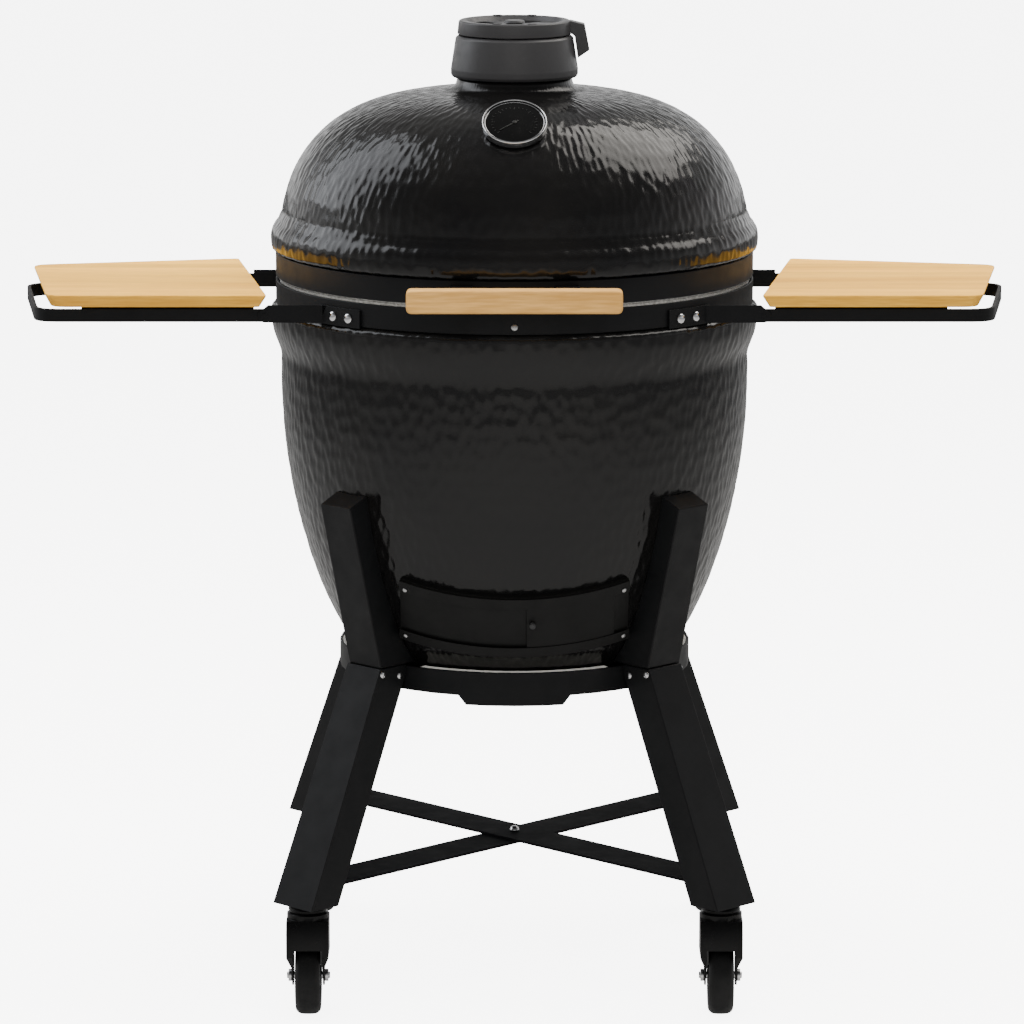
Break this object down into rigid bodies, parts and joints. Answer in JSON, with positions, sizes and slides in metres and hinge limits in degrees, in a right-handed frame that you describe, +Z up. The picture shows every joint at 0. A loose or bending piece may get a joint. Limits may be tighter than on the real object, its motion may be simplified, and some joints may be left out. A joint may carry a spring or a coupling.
{
  "type": "kamado ceramic grill",
  "caption": "Egg-shaped ceramic charcoal grill with a hinged domed lid, top and draft vents, folding wooden side tables and a legged stand on swivel casters.",
  "frame": {"origin": "on the floor under the kettle axis, at the centre of the footprint", "axes": "+X towards the grill's right-hand table as seen from the front, +Y to the rear hinge, +Z up"},
  "size_m": [1.1626, 0.6739, 1.147],
  "materials": {
    "ceramic_glaze": "glossy near-black hammered glaze",
    "powder_coat": "satin black powder coat",
    "cast_metal": "satin dark grey casting",
    "draft_coat": "satin black sheet",
    "felt": "light grey felt",
    "bamboo": "light oiled wood",
    "fireclay": "matt fired clay",
    "cast_iron": "rough black",
    "stainless_steel": "brushed",
    "chrome": "polished",
    "caster_steel": "black enamel",
    "tyre": "black rubber"
  },
  "bodies": {
    "kettle_and_stand": {"bowl": "ceramic_glaze", "base_band": "powder_coat", "base_gasket": "felt", "fire_box": "fireclay", "fire_ring": "fireclay", "charcoal_grate": "cast_iron", "cooking_grate": "stainless_steel", "draft_frame": "draft_coat", "ember_screen": "stainless_steel", "hinge_base": "powder_coat", "hinge_pin": "chrome", "hinge_spring": "stainless_steel", "table_bracket_front_left": "powder_coat", "table_bracket_front_right": "powder_coat", "table_bracket_rear_left": "powder_coat", "table_bracket_rear_right": "powder_coat", "upper_leg_front_left": "powder_coat", "upper_leg_front_right": "powder_coat", "upper_leg_rear_left": "powder_coat", "upper_leg_rear_right": "powder_coat", "lower_leg_front_left": "powder_coat", "lower_leg_front_right": "powder_coat", "lower_leg_rear_left": "powder_coat", "lower_leg_rear_right": "powder_coat", "stand_ring": "powder_coat", "brace_upper": "powder_coat", "brace_lower": "powder_coat", "brace_bolt": "chrome"},
    "lid": {"lid_dome": "ceramic_glaze", "lid_band": "powder_coat", "lid_gasket": "felt", "lid_handle": "bamboo", "handle_bracket_left": "powder_coat", "handle_bracket_right": "powder_coat", "thermometer": "chrome", "vent_base": "cast_metal", "vent_pivot": "stainless_steel", "hinge_arm": "powder_coat"},
    "vent_cap": {"vent_cap": "cast_metal"},
    "draft_door": {"draft_door": "draft_coat"},
    "table_left": {"table_frame_left": "powder_coat", "table_board_left": "bamboo", "table_rail_left": "powder_coat"},
    "table_right": {"table_frame_right": "powder_coat", "table_board_right": "bamboo", "table_rail_right": "powder_coat"},
    "swivel_front_left": {"caster_fork_front_left": "caster_steel", "caster_axle_front_left": "chrome"},
    "wheel_front_left": {"caster_wheel_front_left": "tyre"},
    "swivel_front_right": {"caster_fork_front_right": "caster_steel", "caster_axle_front_right": "chrome"},
    "wheel_front_right": {"caster_wheel_front_right": "tyre"},
    "swivel_rear_left": {"caster_fork_rear_left": "caster_steel", "caster_axle_rear_left": "chrome"},
    "wheel_rear_left": {"caster_wheel_rear_left": "tyre"},
    "swivel_rear_right": {"caster_fork_rear_right": "caster_steel", "caster_axle_rear_right": "chrome"},
    "wheel_rear_right": {"caster_wheel_rear_right": "tyre"}
  },
  "joints": [
    {"name": "lid_hinge", "type": "hinge", "parent": "kettle_and_stand", "child": "lid", "pos_m": [0, 0.32, 0.845], "axis": [-1, 0, 0], "range_deg": [0, 80]},
    {"name": "vent_cap_turn", "type": "hinge", "parent": "lid", "child": "vent_cap", "pos_m": [0, 0, 1.137], "axis": [0, 0, 1], "range_deg": [0, 45]},
    {"name": "draft_door_slide", "type": "hinge", "parent": "kettle_and_stand", "child": "draft_door", "pos_m": [0, -0.00171, 0.5685], "axis": [0, -0.4226, 0.9063], "range_deg": [-25, 0]},
    {"name": "table_fold_left", "type": "hinge", "parent": "kettle_and_stand", "child": "table_left", "pos_m": [-0.29, 0, 0.82], "axis": [0, -1, 0], "range_deg": [0, 90]},
    {"name": "table_fold_right", "type": "hinge", "parent": "kettle_and_stand", "child": "table_right", "pos_m": [0.29, 0, 0.82], "axis": [0, 1, 0], "range_deg": [0, 90]},
    {"name": "caster_swivel_front_left", "type": "hinge", "parent": "kettle_and_stand", "child": "swivel_front_left", "pos_m": [-0.242, -0.242, 0.125], "axis": [0, 0, 1], "continuous": true},
    {"name": "wheel_spin_front_left", "type": "hinge", "parent": "swivel_front_left", "child": "wheel_front_left", "pos_m": [-0.242, -0.236, 0.046], "axis": [1, 0, 0], "continuous": true},
    {"name": "caster_swivel_front_right", "type": "hinge", "parent": "kettle_and_stand", "child": "swivel_front_right", "pos_m": [0.242, -0.242, 0.125], "axis": [0, 0, 1], "continuous": true},
    {"name": "wheel_spin_front_right", "type": "hinge", "parent": "swivel_front_right", "child": "wheel_front_right", "pos_m": [0.242, -0.236, 0.046], "axis": [1, 0, 0], "continuous": true},
    {"name": "caster_swivel_rear_left", "type": "hinge", "parent": "kettle_and_stand", "child": "swivel_rear_left", "pos_m": [-0.242, 0.242, 0.125], "axis": [0, 0, 1], "continuous": true},
    {"name": "wheel_spin_rear_left", "type": "hinge", "parent": "swivel_rear_left", "child": "wheel_rear_left", "pos_m": [-0.242, 0.248, 0.046], "axis": [1, 0, 0], "continuous": true},
    {"name": "caster_swivel_rear_right", "type": "hinge", "parent": "kettle_and_stand", "child": "swivel_rear_right", "pos_m": [0.242, 0.242, 0.125], "axis": [0, 0, 1], "continuous": true},
    {"name": "wheel_spin_rear_right", "type": "hinge", "parent": "swivel_rear_right", "child": "wheel_rear_right", "pos_m": [0.242, 0.248, 0.046], "axis": [1, 0, 0], "continuous": true}
  ]
}
